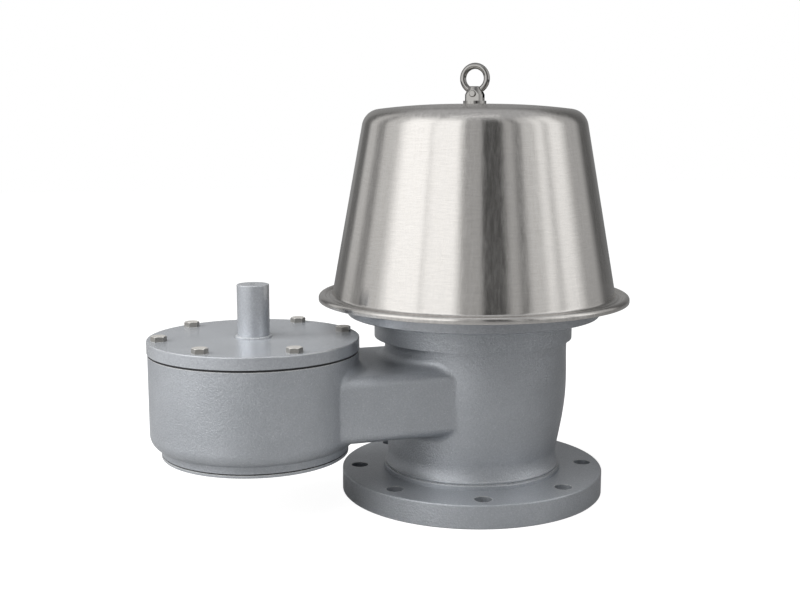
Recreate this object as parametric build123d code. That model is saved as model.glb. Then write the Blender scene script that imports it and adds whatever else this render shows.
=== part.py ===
from build123d import *
import os
from math import radians, tan

os.makedirs("parts", exist_ok=True)

# Driving dimensions, in millimetres. Origin: centre of the tank flange's lower face, +Z up,
# vacuum chamber on the -X side.

# Tank flange, nominal size 200
bore_r = 100.0
flange_r = 170.0
flange_t = 30.0
flange_bolt_circle_r = 147.5
flange_hole_r = 11.0
flange_hole_count = 8
flange_hole_turn = -16.5        # degrees from +X to the first hole
foot_r = 115.5                  # bead where the barrel stands on the flange
foot_bead = 6.0
foot_bead_round = 1.8
foot_step = 2.6                 # upper bead inside the lower one
foot_upper_bead = 4.0
waist_z = 58.0                  # narrowest place of the barrel

# Barrel: it swells away from the vacuum chamber, so its upper circle sits off the bore's axis
wall = 10.0
belly_r = 118.2
belly_z = 150.0
belly_shift = 4.0
neck_r = 127.7
neck_z = 203.5
neck_top = 231.3
ledge_t = 15.0                  # thick land under the neck's top face
opening_setback = 29.7          # opening of the neck, seat flange and pressure seat, inside the neck's edge

# Vacuum chamber and the duct to it
chamber_x = -288.0
chamber_r = 128.0
chamber_floor = 88.0
chamber_top = 200.5
chamber_corner_h = 16.0         # height of the rounded lower corner
rim_in_r = 103.0                # inside of the thick rim that takes the cover bolts
rim_h = 24.5
skirt_setback = 13.5            # short band under the chamber, inside its wall
skirt_h = 9.0
skirt_wall = 14.5
floor_hole_r = 86.0
duct_half_w = 98.0
duct_low = 97.0
duct_high = 178.0
duct_corner = 13.0
duct_seam_x = -137.0            # the chamber's half of the duct is welded to the barrel's half here
junction_fillet = 12.0

# Gaskets, clearances
gasket_t = 1.5
cover_gasket_t = 2.7
gasket_setback = 0.8            # gasket edge behind the metal edge
fit_gap = 0.05                  # radial clearance of a running fit
seat_gap = 0.2                  # diaphragm above its seat when closed
assembly_gap = 0.3

# Seat flange and pressure seat
seat_flange_edge = 36.1         # seat flange outside the posts' circle
seat_flange_t = 15.2
seat_socket = 7.0               # depth of the seat ring in the seat flange
pressure_seat_t = 6.0
pressure_seat_z = 270.0         # height of the seat's lip
seat_land = 3.0                 # width of a seat's lip
seat_flange_bolt_inset = 10.2   # screws' circle inside the neck's edge
seat_flange_bolt_count = 8
flange_screw_r = 5.0
flange_screw_grip = 14.0        # thread in the neck ring
small_screw_r = 3.0             # retainer, seat and screen screws
small_screw_grip = 7.0
screw_spare = 1.0               # blind holes are deeper than their screws by this

# Guide spider and rod
spider_rim = 8.0
spider_rim_t = 6.0
spider_arm_w = 10.0
spider_arm_h = 16.0
spider_hub_r = 20.0
spider_hub_h = 30.0
spider_arms = 4
rod_r = 8.0
rod_collar_r = 14.0
rod_collar_h = 6.0
rod_nut_flats = 24.0
rod_nut_h = 13.0

# Pressure pallet
pressure_lift = 45.0
pallet_overlap = 14.0           # pallet outside the opening
pallet_t = 4.0
pallet_rim_h = 12.0
pallet_rim_t = 2.5
diaphragm_t = 1.0
retainer_t = 3.5
retainer_gap = 4.0              # retainer inside the seat's opening
tube_r = 14.0
tube_wall = 3.0
tube_below = 12.0               # tube under the seat's lip
tube_above = 70.0
bush_h = 20.0
weight_r = 80.0
weight_t = 10.0
weight_count = 2
hub_nut_flats = 40.0
hub_nut_h = 12.0
stop_collar_r = 15.0
stop_collar_h = 8.0

# Hood
hood_t = 2.0
hood_crown_z = 499.5
hood_crown_flat_r = 24.0
hood_crown_r = 778.0            # radius of the crown's dish
hood_shoulder = 24.0
hood_overhang = 19.1            # hood's foot outside the seat flange
hood_foot_z = 261.0
hood_taper = 10.3               # degrees from the vertical
brim_step = 3.6                 # foot to the brim's flat
brim_drop = 3.5
brim_flat = 5.8                 # width of the shallow groove
brim_groove = 1.6
brim_roll = 8.7                 # width of the rolled edge
hood_pad_t = 3.0
hood_pad_r = 22.0

# Hood carrier
post_clearance = 14.0           # posts' circle outside the pallet
post_r = 6.0
post_count = 4
post_turn = 22.5
post_depth = 11.0
post_foot_flats = 19.0
post_foot_h = 8.0
post_nut_flats = 18.0
post_nut_h = 10.0
bridge_z = 454.0
bridge_t = 6.0
bridge_arm_w = 26.0
bridge_hub_r = 20.0

# Discharge screen
screen_t = 1.5
screen_setback = 2.6            # screen's upright wall behind the seat flange's edge
screen_foot_w = 12.5
screen_z = 262.0
screen_gap = 1.2                # screen to the hood
screen_slot_w = 7.0
screen_slots = 54
screen_screw_count = 6

# Vacuum cover and its sleeve
cover_r = 128.9
cover_t = 14.7
cover_edge = 1.2
cover_bolt_circle_r = 114.0
cover_bolt_turns = (1.4, 48.4, 84.4, 122.4, 176.4, 226.4, 282.4)   # degrees from +X, uneven as on the real cover
cover_bolt_r = 5.0
cover_bolt_flats = 17.0
cover_bolt_head = 6.4
cover_bolt_depth = 20.0
sleeve_r = 19.6
sleeve_top = 282.7
sleeve_bore_r = 12.0
sleeve_cap_t = 5.7
sleeve_vent_r = 4.3
sleeve_weld = 2.5
sleeve_below = 24.0             # guide boss under the cover
vacuum_bush_h = 62.0

# Vacuum seat and pallet
vacuum_seat_collar = 10.0       # seat's wall in the floor's hole
vacuum_seat_z = 113.0
vacuum_seat_flange_w = 12.0
vacuum_seat_flange_t = 5.0
vacuum_seat_bolt_count = 6
vacuum_pallet_overlap = 9.0
vacuum_weight_r = 55.0
vacuum_weight_t = 12.0
stem_r = 7.0
stem_below = 13.0
stem_top = 238.0
stem_nut_flats = 22.0
stem_nut_h = 11.0

# Air inlet under the chamber
inlet_screen_t = 1.5
inlet_ring_t = 3.5
inlet_mesh_hole = 11.0
inlet_mesh_pitch = 14.0
inlet_screw_count = 6
inlet_screw_r = 2.5

# Lifting eye
eye_turn = 50.0                 # degrees from +X to the pin's blunt end
eye_washer_r = 14.6
eye_washer_t = 4.0
clevis_r = 12.4
clevis_base = 3.7
clevis_shoulder_z = 511.0       # the clevis tapers above this
clevis_top = 521.5
clevis_top_r = 7.6
clevis_flats = 19.0
clevis_slot = 8.2
eye_pin_z = 512.2
eye_pin_r = 2.6
eye_pin_head_r = 4.3
eye_pin_head_h = 2.4
eye_ring_z = 531.2
eye_ring_mid_r = 15.6
eye_ring_wire_r = 3.9
eye_lug_r = 4.8


# Shapes used many times
def disc(r, low, high, x=0.0):
    return Pos(x, 0, low) * extrude(Circle(r), high - low)


def ring(inner, outer, low, high, x=0.0):
    return Pos(x, 0, low) * extrude(Circle(outer) - Circle(inner), high - low)


def hex_prism(flats, low, high):
    return Pos(0, 0, low) * extrude(RegularPolygon(flats / 2, 6, major_radius=False), high - low)


def turned(points, x=0.0):
    return Pos(x, 0, 0) * revolve(make_face(Plane.XZ * Polyline(*points, close=True)), Axis.Z)


def at_turns(shape, radius, turns, x=0.0):
    """Copies of a shape built on the Z axis, one at each turn on a circle about (x, 0)."""
    return [Pos(x, 0, 0) * Rot(0, 0, turn) * Pos(radius, 0, 0) * shape for turn in turns]


def around(shape, radius, count, turn=0.0, x=0.0):
    """Copies of a shape built on the Z axis, evenly spaced on a circle about (x, 0)."""
    return at_turns(shape, radius, [turn + 360 / count * i for i in range(count)], x)


def screw(r, seat, depth):
    """Socket head screw of thread radius r: head above the height seat, shank down to seat - depth."""
    head_top = seat + 1.8 * r
    head = chamfer(disc(1.6 * r, seat, head_top).edges().group_by(Axis.Z)[-1], 0.15 * r)
    socket = hex_prism(1.6 * r, seat + 0.8 * r, head_top + r)
    return head - socket + disc(r, seat - depth, seat)


def hex_head(flats, low, high):
    """Hexagon with its upper corners turned off."""
    body = hex_prism(flats, low, high)
    corner = flats * 0.6
    return body & turned([(0, low), (corner, low), (corner, high - flats * 0.07), (flats * 0.48, high),
                          (0, high)])


def rims(shape, r):
    """The round edges of radius r."""
    return [e for e in shape.edges() if e.geom_type == GeomType.CIRCLE and abs(e.radius - r) < 0.1]


def save(shape, name):
    solids = shape if isinstance(shape, list) else [shape]
    export_step(solids[0] if len(solids) == 1 else Compound(children=solids), "parts/" + name + ".step")


# Sizes that follow from the driving dimensions
skirt_r = chamber_r - skirt_setback
land_r = neck_r - opening_setback
seat_flange_bolt_r = neck_r - seat_flange_bolt_inset
pallet_r = land_r + pallet_overlap
post_circle_r = pallet_r + post_clearance
seat_flange_r = post_circle_r + seat_flange_edge
vacuum_seat_in_r = floor_hole_r - vacuum_seat_collar
vacuum_seat_flange_r = floor_hole_r + vacuum_seat_flange_w
vacuum_seat_bolt_r = floor_hole_r + vacuum_seat_flange_w / 2
vacuum_pallet_r = vacuum_seat_in_r + vacuum_pallet_overlap
seat_flange_low = neck_top + gasket_t
seat_flange_top = seat_flange_low + seat_flange_t
gasket_r = neck_r - gasket_setback
spider_rim_r = land_r + spider_rim
spider_top = neck_top + spider_rim_t
hood_foot_r = seat_flange_r + hood_overhang
brim_step_r = hood_foot_r + brim_step
brim_groove_r = brim_step_r + brim_flat
hood_rim_r = brim_groove_r + brim_roll
brim_z = hood_foot_z - brim_drop
cover_low = chamber_top + cover_gasket_t
cover_top = cover_low + cover_t
skirt_low = chamber_floor - skirt_h
floor_top = chamber_floor + wall


# Welded housing: tank flange, barrel, neck ring and vacuum chamber, with the duct between the last two halves
def barrel(inset):
    """Swelling barrel up to the neck ring, with its surface moved in by inset."""
    waist_r = bore_r + wall
    steps = [0.0, 0.22, 0.5, 0.8, 1.0]
    swell = [0.0, 0.32, 0.70, 0.95, 1.0]
    levels = [waist_z + (belly_z - waist_z) * s for s in steps] + [neck_z]
    sizes = [waist_r + (belly_r - waist_r) * s for s in swell] + [belly_r]
    shifts = [belly_shift * s for s in swell] + [belly_shift]
    return loft([Pos(dx, 0, z) * Circle(r - inset) for z, r, dx in zip(levels, sizes, shifts)])


def foot():
    """Two rounded beads and a concave foot between the flange and the barrel's waist."""
    waist_r = bore_r + wall
    bead_top = flange_t + foot_bead
    step_r = foot_r - foot_step
    crown_r = foot_r - foot_bead_round
    crown_z = bead_top - foot_bead_round
    bend = foot_bead_round * 0.707
    upper_top = bead_top + foot_upper_bead
    outline = (
        Polyline((0, flange_t), (foot_r, flange_t), (foot_r, crown_z))
        + ThreePointArc((foot_r, crown_z), (crown_r + bend, crown_z + bend), (crown_r, bead_top))
        + Line((crown_r, bead_top), (step_r, bead_top))
        + ThreePointArc((step_r, bead_top), (step_r + 0.7, bead_top + foot_upper_bead / 2),
                        (step_r - 0.4, upper_top))
        + ThreePointArc((step_r - 0.4, upper_top), (waist_r + 0.7, upper_top + 6), (waist_r, waist_z))
        + Polyline((waist_r, waist_z), (0, waist_z), (0, flange_t))
    )
    return revolve(make_face(Plane.XZ * outline), Axis.Z)


def duct(inset):
    """Flat duct from the chamber's axis to the barrel's axis."""
    height = duct_high - duct_low - 2 * inset
    width = 2 * (duct_half_w - inset)
    section = RectangleRounded(height, width, duct_corner - inset * 0.6)
    return Pos(chamber_x, 0, (duct_high + duct_low) / 2) * Rot(0, 90, 0) * extrude(section, -chamber_x)


def chamber_shell():
    """Outside of the vacuum chamber: wall, rounded lower corner and the short skirt."""
    inner = skirt_r + 0.5
    corner_top = chamber_floor + chamber_corner_h
    corner = EllipticalCenterArc((inner, corner_top), chamber_r - inner, chamber_corner_h, 270, arc_size=90)
    outline = (
        Polyline((0, chamber_top), (0, skirt_low), (skirt_r, skirt_low), (skirt_r, chamber_floor), corner @ 0)
        + corner
        + Polyline(corner @ 1, (chamber_r, chamber_top), (0, chamber_top))
    )
    return Pos(chamber_x, 0, 0) * revolve(make_face(Plane.XZ * outline), Axis.Z)


def chamber_room():
    """Space in the vacuum chamber: pot under a thick rim, hole in the floor, opening of the skirt."""
    inner_r = chamber_r - wall
    rim_low = chamber_top - rim_h
    room = turned([(0, floor_top), (inner_r, floor_top), (inner_r, rim_low - (inner_r - rim_in_r)),
                   (rim_in_r, rim_low), (rim_in_r, chamber_top + 1), (0, chamber_top + 1)], chamber_x)
    room += disc(floor_hole_r, chamber_floor - 1, floor_top + 1, chamber_x)
    return room + disc(skirt_r - skirt_wall, skirt_low - 1, chamber_floor, chamber_x)


def housing_shell():
    """Barrel, duct and chamber in one, with rounded junctions, hollow and open at the duct."""
    shell = foot() + barrel(0) + duct(0) + chamber_shell()
    joints = [
        e for e in shell.edges()
        if duct_low - 0.5 <= e.center().Z <= duct_high + 0.5
        and chamber_x + 50 < e.center().X < -20 and e.geom_type != GeomType.LINE
    ]
    shell = fillet(joints, junction_fillet)
    shell -= disc(bore_r, flange_t - 1, waist_z)
    shell -= barrel(wall)
    shell -= duct(wall)
    return shell - chamber_room()


tank_flange = disc(flange_r, 0, flange_t)
tank_flange = fillet(tank_flange.edges().sort_by(Axis.Z)[-1], 2.0)
tank_flange = chamfer(tank_flange.edges().sort_by(Axis.Z)[0], 1.0)
tank_flange -= disc(bore_r, -1, flange_t + 1)
tank_flange -= around(disc(flange_hole_r, -1, flange_t + 1), flange_bolt_circle_r, flange_hole_count,
                      flange_hole_turn)
save(tank_flange, "tank_flange")

# The shell parts where the two halves of the duct meet
shell = housing_shell()
reach = -2 * chamber_x
chamber_side = Pos(duct_seam_x - reach / 2, 0, neck_z / 2) * Box(reach, reach, reach)
vacuum_chamber = shell & chamber_side
save(shell - chamber_side, "valve_body")
vacuum_chamber -= at_turns(disc(cover_bolt_r, chamber_top - cover_bolt_depth - 2, chamber_top + 1),
                           cover_bolt_circle_r, cover_bolt_turns, chamber_x)
vacuum_chamber -= around(disc(small_screw_r, floor_top - small_screw_grip - screw_spare, floor_top + 1),
                         vacuum_seat_bolt_r, vacuum_seat_bolt_count, 0, chamber_x)
vacuum_chamber -= around(disc(inlet_screw_r, skirt_low - 1, skirt_low + 7), skirt_r - skirt_wall / 2,
                         inlet_screw_count, 30, chamber_x)
save(vacuum_chamber, "vacuum_chamber")

# Neck ring: closes the barrel down to the seat's opening and takes the seat flange's screws
neck_ring = disc(neck_r, neck_z, neck_top)
neck_ring = chamfer(neck_ring.edges().sort_by(Axis.Z)[-1], 0.8)
neck_in_r = belly_r - wall - 2
neck_ring -= turned([(0, neck_z - 1), (neck_in_r, neck_z - 1), (neck_in_r, neck_z + 6),
                     (land_r, neck_top - ledge_t), (land_r, neck_top + 1), (0, neck_top + 1)])
neck_ring -= around(disc(flange_screw_r, neck_top - flange_screw_grip - screw_spare, neck_top + 1),
                    seat_flange_bolt_r, seat_flange_bolt_count)
save(neck_ring, "neck_ring")

# Seat flange on the neck, with its gasket and screws
neck_gasket = ring(spider_rim_r + 0.5, gasket_r, neck_top, seat_flange_low)
seat_flange = ring(land_r, seat_flange_r, seat_flange_low, seat_flange_top)
seat_flange = chamfer(rims(seat_flange, seat_flange_r), 1.0)
spider_socket = disc(spider_rim_r + fit_gap, seat_flange_low - 1, spider_top)
seat_socket_low = seat_flange_top - seat_socket
seat_outer_r = land_r + pressure_seat_t
seat_flange -= [spider_socket, disc(seat_outer_r, seat_socket_low, seat_flange_top + 1)]
flange_screw_holes = around(disc(flange_screw_r + 0.2, neck_top - 1, seat_flange_top + 1), seat_flange_bolt_r,
                            seat_flange_bolt_count)
post_holes = around(disc(post_r, seat_flange_top - post_depth, seat_flange_top + 1), post_circle_r,
                    post_count, post_turn)
seat_flange -= flange_screw_holes + post_holes
neck_gasket -= flange_screw_holes
flange_screw = screw(flange_screw_r, seat_flange_top, seat_flange_t + gasket_t + flange_screw_grip)
save(neck_gasket, "neck_gasket")
save(around(flange_screw, seat_flange_bolt_r, seat_flange_bolt_count), "seat_flange_screws")

# Pressure seat: a turned ring with a narrow lip
pressure_seat = turned([
    (land_r, seat_socket_low), (seat_outer_r, seat_socket_low), (seat_outer_r, pressure_seat_z - 5),
    (land_r + seat_land, pressure_seat_z), (land_r, pressure_seat_z)])
save(pressure_seat, "pressure_seat")

# Guide spider, clamped between the neck and the seat flange
spider_hub_low = spider_top - spider_arm_h - 5
spider = ring(spider_rim_r - 14, spider_rim_r, neck_top, spider_top)
arm_length = spider_rim_r - 10
arm = Pos(arm_length / 2, 0, spider_top - spider_arm_h / 2) * Box(arm_length, spider_arm_w, spider_arm_h)
arm -= ring(land_r - assembly_gap, spider_rim_r + 20, spider_top - spider_arm_h - 1, neck_top)
for part in around(arm, 0, spider_arms, 45):
    spider += part
spider += disc(spider_hub_r, spider_hub_low, spider_hub_low + spider_hub_h)
spider -= disc(rod_r + fit_gap, 0, pressure_seat_z)
save(spider, "guide_spider")

# Guide rod: collar on the spider, nut under it, thread for the lifting eye on top
spider_hub_high = spider_hub_low + spider_hub_h
eye_base_z = hood_crown_z + eye_washer_t
rod_low = spider_hub_low - rod_nut_h - 4
rod_high = eye_base_z + clevis_base - 0.5
guide_rod = disc(rod_r, rod_low, rod_high)
guide_rod = chamfer(guide_rod.edges().group_by(Axis.Z)[0], 1.2)
guide_rod += disc(rod_collar_r, spider_hub_high, spider_hub_high + rod_collar_h)
rod_nut = hex_head(rod_nut_flats, spider_hub_low - rod_nut_h, spider_hub_low)
rod_nut = mirror(rod_nut, Plane.XY.offset(spider_hub_low - rod_nut_h / 2))
rod_nut -= disc(rod_r, rod_low, spider_hub_high)
save(guide_rod, "guide_rod")
save(rod_nut, "rod_nut")

# Pressure pallet: dished plate on a guide tube, with diaphragm, retainer, bushes and weights
diaphragm_low = pressure_seat_z + seat_gap
plate_low = diaphragm_low + diaphragm_t
plate_high = plate_low + pallet_t
tube_low = pressure_seat_z - tube_below
tube_high = pressure_seat_z + tube_above
pallet = disc(pallet_r, plate_low, plate_high)
pallet += ring(pallet_r - pallet_rim_t, pallet_r, plate_low, plate_low + pallet_rim_h)
pallet = fillet(pallet.edges().sort_by(Axis.Z)[0], 1.5)
pallet += disc(tube_r, tube_low, tube_high)
pallet -= disc(tube_r - tube_wall, tube_low - 1, tube_high + 1)
retainer_low = diaphragm_low - retainer_t
retainer_screw_circle = weight_r * 0.75
retainer_screw = Rot(180, 0, 0) * screw(small_screw_r, -retainer_low, retainer_t + diaphragm_t + pallet_t)
clear_holes = around(disc(small_screw_r + 0.1, retainer_low - 1, plate_high + 1), retainer_screw_circle, 6)
retainer = ring(tube_r + fit_gap, land_r - retainer_gap, retainer_low, diaphragm_low) - clear_holes
diaphragm = ring(tube_r + fit_gap, pallet_r - 3, diaphragm_low, plate_low) - clear_holes
pallet -= clear_holes
save(pallet, "pressure_pallet")
save(diaphragm, "pressure_diaphragm")
save(retainer, "pressure_retainer")
save(around(retainer_screw, retainer_screw_circle, 6), "pressure_retainer_screws")
bush = ring(rod_r + fit_gap, tube_r - tube_wall, tube_low, tube_low + bush_h)
save([bush, Pos(0, 0, tube_high - tube_low - bush_h) * bush], "pressure_guide_bushes")
weights = []
for i in range(weight_count):
    low = plate_high + weight_t * i
    weight = ring(tube_r + assembly_gap, weight_r, low, low + weight_t)
    weights.append(chamfer(rims(weight, weight_r), 0.8))
save(weights, "pressure_weights")
weights_top = plate_high + weight_t * weight_count
hub_nut = hex_head(hub_nut_flats, weights_top, weights_top + hub_nut_h)
hub_nut -= disc(tube_r, weights_top - 1, tube_high)
save(hub_nut, "pressure_hub_nut")
stop_low = tube_high + pressure_lift + 1
stop_collar = ring(rod_r, stop_collar_r, stop_low, stop_low + stop_collar_h)
stop_collar = chamfer(rims(stop_collar, stop_collar_r), 0.8)
save(stop_collar, "lift_stop_collar")

# Hood carrier: four posts with nuts, and a cross that holds the hood's crown
bridge_top = bridge_z + bridge_t
post_top = bridge_top + post_nut_h + 2
post = disc(post_r, seat_flange_top - post_depth, post_top)
post = chamfer(post.edges().group_by(Axis.Z)[-1], 1.0) + hex_prism(post_foot_flats, seat_flange_top,
                                                                   seat_flange_top + post_foot_h)
post += hex_prism(post_foot_flats, bridge_z - post_foot_h, bridge_z)
save(around(post, post_circle_r, post_count, post_turn), "hood_posts")
post_nut = hex_head(post_nut_flats, bridge_top, bridge_top + post_nut_h) - disc(post_r, bridge_z, post_top)
save(around(post_nut, post_circle_r, post_count, post_turn), "hood_post_nuts")
pad_low = hood_crown_z - hood_t - hood_pad_t
bridge_arm = Pos(0, 0, bridge_z) * extrude(SlotCenterToCenter(2 * post_circle_r, bridge_arm_w), bridge_t)
bridge = Rot(0, 0, post_turn) * bridge_arm + Rot(0, 0, post_turn + 90) * bridge_arm
bridge += disc(bridge_hub_r, bridge_z, pad_low)
web_outline = Polygon((bridge_hub_r - 2, 0), (bridge_hub_r + 40, 0), (bridge_hub_r - 2, 26), align=None)
web_outline = Plane.XZ * web_outline
web = Pos(0, 0, bridge_top) * extrude(web_outline, 3, both=True)
for part in around(web, 0, post_count, post_turn):
    bridge += part
bridge -= around(disc(post_r + 0.25, bridge_z - 1, bridge_top + 1), post_circle_r, post_count, post_turn)
bridge -= disc(rod_r + 0.1, bridge_z - 1, pad_low + 1)
save(bridge, "hood_bridge")
save(ring(rod_r + 0.3, hood_pad_r, pad_low, pad_low + hood_pad_t), "hood_pad")


# Hood: spun sheet, with a dished crown, rounded shoulder, taper, stepped brim and rolled edge
def hood_side(inset):
    """Outline of the bell from the axis to its foot, moved in by inset."""
    slope = tan(radians(hood_taper))
    top = hood_crown_z - inset
    crown_r = hood_crown_r - inset
    side_shift = inset / (1 - slope * slope / 2)
    corner_r = hood_foot_r - side_shift - slope * (hood_crown_z - 8 - hood_foot_z)
    drop = crown_r - (crown_r ** 2 - (corner_r - hood_crown_flat_r) ** 2) ** 0.5
    corner_z = top - drop
    corner_r = hood_foot_r - side_shift - slope * (corner_z - hood_foot_z)
    flat = Line((0, top), (hood_crown_flat_r, top))
    crown = RadiusArc(flat @ 1, (corner_r, corner_z), crown_r)
    side = Line(crown @ 1, (hood_foot_r - side_shift, hood_foot_z))
    return flat, crown, side


def hood_solid(inset):
    flat, crown, side = hood_side(inset)
    closing = Polyline(side @ 1, (0, hood_foot_z), flat @ 0)
    bell = make_face(Plane.XZ * (flat + crown + side + closing))
    bell = revolve(bell, Axis.Z)
    shoulder = rims(bell, (crown @ 1).X)
    return fillet(shoulder, hood_shoulder - inset)


def brim():
    """Fillet at the foot, step, shallow groove and an edge rolled under."""
    roll_r = (hood_rim_r - brim_groove_r) / 2
    roll_mid = hood_rim_r - roll_r
    groove_mid = (brim_step_r + brim_groove_r) / 2
    inner_foot = hood_foot_r - hood_t
    profile = (
        Line((inner_foot, hood_foot_z), (hood_foot_r, hood_foot_z))
        + ThreePointArc((hood_foot_r, hood_foot_z), (hood_foot_r + 0.3 * brim_step, brim_z + 0.3 * brim_drop),
                        (brim_step_r, brim_z))
        + ThreePointArc((brim_step_r, brim_z), (groove_mid, brim_z - brim_groove), (brim_groove_r, brim_z))
        + ThreePointArc((brim_groove_r, brim_z), (roll_mid, brim_z + roll_r * 0.45), (hood_rim_r, brim_z - 3.5))
        + Line((hood_rim_r, brim_z - 3.5), (hood_rim_r, brim_z - 5.5))
        + ThreePointArc((hood_rim_r, brim_z - 5.5), (hood_rim_r - 1, brim_z - 6.6),
                        (hood_rim_r - 2, brim_z - 5.5))
        + ThreePointArc((hood_rim_r - 2, brim_z - 5.5), (roll_mid, brim_z - 1.6),
                        (brim_groove_r, brim_z - 2.6))
        + ThreePointArc((brim_groove_r, brim_z - 2.6), (groove_mid, brim_z - brim_groove - 2),
                        (brim_step_r - 0.5, brim_z - 2))
        + Line((brim_step_r - 0.5, brim_z - 2), (inner_foot, hood_foot_z))
    )
    return revolve(make_face(Plane.XZ * profile), Axis.Z)


hood = hood_solid(0) - hood_solid(hood_t) + brim()
hood -= disc(rod_r + 0.3, pad_low, hood_crown_z + 1)
save(hood, "hood")

# Discharge screen: slotted sheet ring between the seat flange and the hood
screen_wall_r = seat_flange_r - screen_setback
screen_in_r = screen_wall_r - screen_foot_w
screen_screw_r = screen_wall_r - 7
screen_out_r = hood_foot_r - hood_t - screen_gap
screen = turned([
    (screen_in_r, seat_flange_top), (screen_wall_r, seat_flange_top), (screen_wall_r, screen_z - screen_t),
    (screen_out_r, screen_z - screen_t), (screen_out_r, screen_z), (screen_wall_r - screen_t, screen_z),
    (screen_wall_r - screen_t, seat_flange_top + screen_t), (screen_in_r, seat_flange_top + screen_t)])
slot_length = screen_out_r - screen_wall_r - 5
slot = Pos(0, 0, screen_z) * Box(slot_length, screen_slot_w, 4 * screen_t)
screen -= around(slot, (screen_wall_r + screen_out_r) / 2, screen_slots)
screen_hole = disc(small_screw_r + 0.2, seat_flange_top - 1, seat_flange_top + screen_t + 1)
screen -= around(screen_hole, screen_screw_r, screen_screw_count)
screen_screw = screw(small_screw_r, seat_flange_top + screen_t, screen_t + small_screw_grip)
save(screen, "discharge_screen")
save(around(screen_screw, screen_screw_r, screen_screw_count), "screen_screws")
screen_screw_hole = disc(small_screw_r, seat_flange_top - small_screw_grip - screw_spare, seat_flange_top + 1)
seat_flange -= around(screen_screw_hole, screen_screw_r, screen_screw_count)
save(seat_flange, "seat_flange")

# Vacuum cover with the welded guide sleeve, its gasket and bolts
cover = disc(cover_r, cover_low, cover_top)
cover = fillet(cover.edges().sort_by(Axis.Z)[-1], cover_edge)
sleeve = disc(sleeve_r, cover_top, sleeve_top)
sleeve = fillet(sleeve.edges().group_by(Axis.Z)[-1], 1.0)
cover += sleeve
cover += disc(sleeve_r, cover_low - sleeve_below, cover_low)
weld = [e for e in rims(cover, sleeve_r) if abs(e.center().Z - cover_top) < 0.1]
cover = fillet(weld, sleeve_weld)
cover -= disc(sleeve_bore_r, cover_low - sleeve_below - 1, sleeve_top - sleeve_cap_t)
cover -= disc(sleeve_vent_r, sleeve_top - sleeve_cap_t - 1, sleeve_top + 1)
cover = Pos(chamber_x, 0, 0) * cover
clear_hole = disc(cover_bolt_r + 0.75, chamber_top - 1, cover_top + 1)
clear_holes = at_turns(clear_hole, cover_bolt_circle_r, cover_bolt_turns, chamber_x)
cover -= clear_holes
cover_gasket = ring(rim_in_r, cover_r - gasket_setback * 1.5, chamber_top, cover_low, chamber_x) - clear_holes
cover_bolt = hex_head(cover_bolt_flats, cover_top, cover_top + cover_bolt_head)
cover_bolt += disc(cover_bolt_r, chamber_top - cover_bolt_depth, cover_top)
save(cover, "vacuum_cover")
save(cover_gasket, "cover_gasket")
save(at_turns(cover_bolt, cover_bolt_circle_r, cover_bolt_turns, chamber_x), "cover_bolts")

# Bush in the sleeve that guides the vacuum pallet's stem
bush_low = cover_low - sleeve_below
vacuum_bush = ring(stem_r + fit_gap, sleeve_bore_r, bush_low, bush_low + vacuum_bush_h, chamber_x)
save(vacuum_bush, "vacuum_guide_bush")

# Vacuum seat on the chamber's floor
seat_gasket_top = floor_top + gasket_t
seat_flange_high = seat_gasket_top + vacuum_seat_flange_t
vacuum_seat = turned([
    (vacuum_seat_in_r, chamber_floor), (floor_hole_r - 0.1, chamber_floor),
    (floor_hole_r - 0.1, seat_gasket_top),
    (vacuum_seat_flange_r, seat_gasket_top), (vacuum_seat_flange_r, seat_flange_high),
    (vacuum_seat_in_r + 7, seat_flange_high), (vacuum_seat_in_r + 7, vacuum_seat_z - 4),
    (vacuum_seat_in_r + seat_land, vacuum_seat_z), (vacuum_seat_in_r, vacuum_seat_z)], chamber_x)
seat_holes = around(disc(small_screw_r + 0.1, floor_top - 1, vacuum_seat_z), vacuum_seat_bolt_r,
                    vacuum_seat_bolt_count, 0, chamber_x)
vacuum_seat -= seat_holes
seat_gasket = ring(floor_hole_r + 0.5, vacuum_seat_flange_r, floor_top, seat_gasket_top, chamber_x)
seat_gasket -= seat_holes
seat_screw = screw(small_screw_r, seat_flange_high, vacuum_seat_flange_t + gasket_t + small_screw_grip)
save(vacuum_seat, "vacuum_seat")
save(seat_gasket, "vacuum_seat_gasket")
save(around(seat_screw, vacuum_seat_bolt_r, vacuum_seat_bolt_count, 0, chamber_x), "vacuum_seat_screws")

# Vacuum pallet: plate, diaphragm, retainer and weight, clamped on a stem
film_low = vacuum_seat_z + seat_gap
disc_low = film_low + diaphragm_t
disc_high = disc_low + pallet_t
vacuum_weight_top = disc_high + vacuum_weight_t
retainer_bottom = film_low - retainer_t
vacuum_plate = ring(stem_r, vacuum_pallet_r, disc_low, disc_high, chamber_x)
vacuum_plate = fillet(rims(vacuum_plate, vacuum_pallet_r), 1.2)
save(vacuum_plate, "vacuum_pallet")
save(ring(stem_r, vacuum_pallet_r - 2, film_low, disc_low, chamber_x), "vacuum_diaphragm")
save(ring(stem_r, vacuum_seat_in_r - retainer_gap, retainer_bottom, film_low, chamber_x), "vacuum_retainer")
vacuum_weight = ring(stem_r, vacuum_weight_r, disc_high, vacuum_weight_top, chamber_x)
vacuum_weight = chamfer(rims(vacuum_weight, vacuum_weight_r), 0.8)
save(vacuum_weight, "vacuum_weight")
stem_low = retainer_bottom - stem_below
stem = disc(stem_r, stem_low, stem_top, chamber_x)
save(chamfer(stem.edges().filter_by(GeomType.CIRCLE), 1.0), "vacuum_stem")
stem_nut = hex_head(stem_nut_flats, 0, stem_nut_h) - disc(stem_r, -1, stem_nut_h + 1)
upper_nut = Pos(chamber_x, 0, vacuum_weight_top) * stem_nut
lower_nut = Pos(chamber_x, 0, retainer_bottom) * Rot(180, 0, 0) * stem_nut
save([upper_nut, lower_nut], "vacuum_stem_nuts")

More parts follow.
